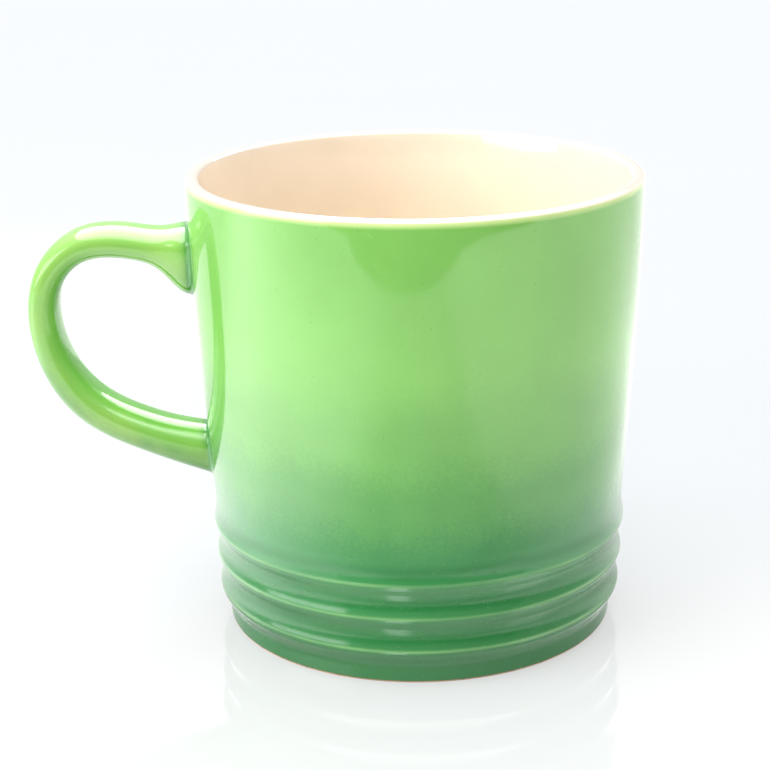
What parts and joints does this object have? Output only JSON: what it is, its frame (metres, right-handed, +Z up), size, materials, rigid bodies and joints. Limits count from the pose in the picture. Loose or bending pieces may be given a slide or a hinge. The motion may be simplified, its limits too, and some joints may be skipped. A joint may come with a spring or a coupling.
{
  "type": "mug",
  "caption": "Straight-sided stoneware mug with a loop handle, flared rings round the foot, a pale glazed inside and a coloured glaze outside.",
  "frame": {"origin": "on the ground, in the middle of the outline of cup and handle seen from above; the axis of the cup is 16.95 mm towards +X", "axes": "+Z up along the axis of the cup, -X towards the handle, the handle's loop lies in the plane y = 0"},
  "size_m": [0.1267, 0.0928, 0.0948],
  "materials": {
    "stoneware": "matte",
    "slip": "matte",
    "liner_glaze": "gloss",
    "coloured_glaze": "gloss",
    "clear_glaze": "gloss"
  },
  "bodies": {
    "root": {"cup_body": "stoneware", "handle": "stoneware", "upper_handle_joint": "slip", "lower_handle_joint": "slip", "liner_glaze": "liner_glaze", "outer_glaze": "coloured_glaze", "handle_glaze": "coloured_glaze", "recess_glaze": "clear_glaze"}
  },
  "joints": []
}
